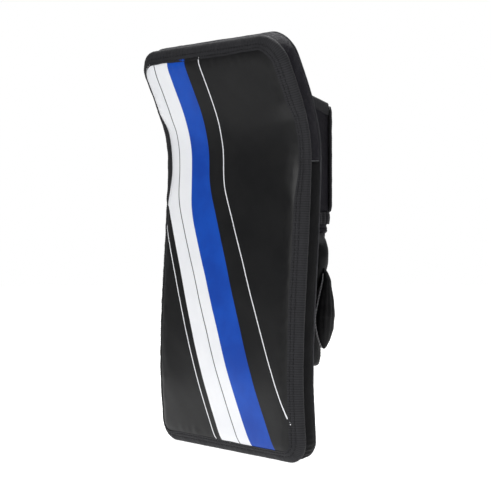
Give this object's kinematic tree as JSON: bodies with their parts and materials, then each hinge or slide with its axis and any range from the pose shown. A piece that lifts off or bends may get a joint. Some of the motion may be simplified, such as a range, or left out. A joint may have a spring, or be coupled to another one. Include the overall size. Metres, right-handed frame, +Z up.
{
  "type": "goalie blocker",
  "caption": "Curved padded stick-hand board with a bound edge and side wall, carrying a hinged-finger glove with a hook-and-loop cuff on its back.",
  "frame": {"origin": "middle of the board's bottom edge, at the foot of the front of the binding", "axes": "+Z up the board, -Y the way the struck face looks, +Y the glove side, +X the thumb side"},
  "size_m": [0.178, 0.1037, 0.3355],
  "materials": {
    "face_leather": "black synthetic leather with a printed blue and white stripe panel, semi-gloss",
    "glove_leather": "black grained synthetic leather, satin",
    "body_nylon": "black woven nylon, slightly violet, matte",
    "wall_vinyl": "black smooth coated fabric, satin",
    "edge_tape": "black ribbed grosgrain tape, matte",
    "elastic_knit": "black gathered elastic knit, matte",
    "foam": "closed-cell grey foam",
    "plate_plastic": "white polyethylene sheet",
    "hook_tape": "black hook-and-loop tape",
    "cord_grey": "light grey woven piping cord"
  },
  "bodies": {
    "board": {"face_cover": "face_leather", "face_padding": "foam", "stiffener_plate": "plate_plastic", "foam_core": "foam", "back_cover": "body_nylon", "side_wall_upper": "body_nylon", "side_wall_lower": "wall_vinyl", "rear_piping": "edge_tape", "front_binding": "edge_tape", "hand_back_pad": "body_nylon", "glove_back": "body_nylon", "palm_panel": "glove_leather", "palm_patch": "glove_leather", "hand_side_right": "glove_leather", "hand_side_left": "glove_leather", "finger_root_band": "glove_leather", "thumb_web": "glove_leather", "wrist_sleeve": "elastic_knit", "cuff_hem": "elastic_knit", "cuff_back": "body_nylon", "cuff_side_right": "body_nylon", "cuff_side_left": "body_nylon", "cuff_under_flap": "body_nylon", "loop_patch": "hook_tape", "cuff_top_binding": "edge_tape"},
    "index_root": {"index_base": "glove_leather"},
    "index_end": {"index_tip": "glove_leather"},
    "middle_root": {"middle_base": "glove_leather"},
    "middle_end": {"middle_tip": "glove_leather"},
    "ring_root": {"ring_base": "glove_leather"},
    "ring_end": {"ring_tip": "glove_leather"},
    "little_root": {"little_base": "glove_leather"},
    "little_end": {"little_tip": "glove_leather"},
    "thumb_root": {"thumb_base": "glove_leather", "thumb_piping_base": "cord_grey"},
    "thumb_end": {"thumb_tip": "glove_leather", "thumb_piping_tip": "cord_grey"},
    "flap": {"cuff_flap": "body_nylon", "flap_binding": "edge_tape", "hook_patch": "hook_tape", "pull_tab": "edge_tape"}
  },
  "joints": [
    {"name": "index_curl", "type": "hinge", "parent": "board", "child": "index_root", "pos_m": [0.031, 0.0701, 0.1092], "axis": [1, 0, 0], "range_deg": [0, 70], "stiffness_Nm_per_rad": 0.04},
    {"name": "index_tip_curl", "type": "hinge", "parent": "index_root", "child": "index_end", "pos_m": [0.031, 0.0701, 0.0906], "axis": [1, 0, 0], "range_deg": [0, 70], "stiffness_Nm_per_rad": 0.02},
    {"name": "middle_curl", "type": "hinge", "parent": "board", "child": "middle_root", "pos_m": [0.0106, 0.0701, 0.1092], "axis": [1, 0, 0], "range_deg": [0, 70], "stiffness_Nm_per_rad": 0.04},
    {"name": "middle_tip_curl", "type": "hinge", "parent": "middle_root", "child": "middle_end", "pos_m": [0.0106, 0.0701, 0.08812], "axis": [1, 0, 0], "range_deg": [0, 70], "stiffness_Nm_per_rad": 0.02},
    {"name": "ring_curl", "type": "hinge", "parent": "board", "child": "ring_root", "pos_m": [-0.0098, 0.0701, 0.1092], "axis": [1, 0, 0], "range_deg": [0, 70], "stiffness_Nm_per_rad": 0.04},
    {"name": "ring_tip_curl", "type": "hinge", "parent": "ring_root", "child": "ring_end", "pos_m": [-0.0098, 0.0701, 0.08993], "axis": [1, 0, 0], "range_deg": [0, 70], "stiffness_Nm_per_rad": 0.02},
    {"name": "little_curl", "type": "hinge", "parent": "board", "child": "little_root", "pos_m": [-0.0302, 0.0701, 0.1092], "axis": [1, 0, 0], "range_deg": [0, 70], "stiffness_Nm_per_rad": 0.04},
    {"name": "little_tip_curl", "type": "hinge", "parent": "little_root", "child": "little_end", "pos_m": [-0.0302, 0.0701, 0.09308], "axis": [1, 0, 0], "range_deg": [0, 70], "stiffness_Nm_per_rad": 0.02},
    {"name": "thumb_spread", "type": "hinge", "parent": "board", "child": "thumb_root", "pos_m": [0.0585, 0.0577, 0.1463], "axis": [0, -1, 0], "range_deg": [0, 35], "stiffness_Nm_per_rad": 0.04},
    {"name": "thumb_bend", "type": "hinge", "parent": "thumb_root", "child": "thumb_end", "pos_m": [0.0515, 0.0668, 0.1135], "axis": [1, 0, 0], "range_deg": [0, 55], "stiffness_Nm_per_rad": 0.02},
    {"name": "cuff_flap_open", "type": "hinge", "parent": "board", "child": "flap", "pos_m": [0.046, 0.0721, 0.2395], "axis": [0, 0, -1], "range_deg": [0, 120]}
  ],
  "couplings": [
    {"joint": "index_tip_curl", "follows": "index_curl", "ratio": 1},
    {"joint": "middle_tip_curl", "follows": "middle_curl", "ratio": 1},
    {"joint": "ring_tip_curl", "follows": "ring_curl", "ratio": 1},
    {"joint": "little_tip_curl", "follows": "little_curl", "ratio": 1}
  ]
}
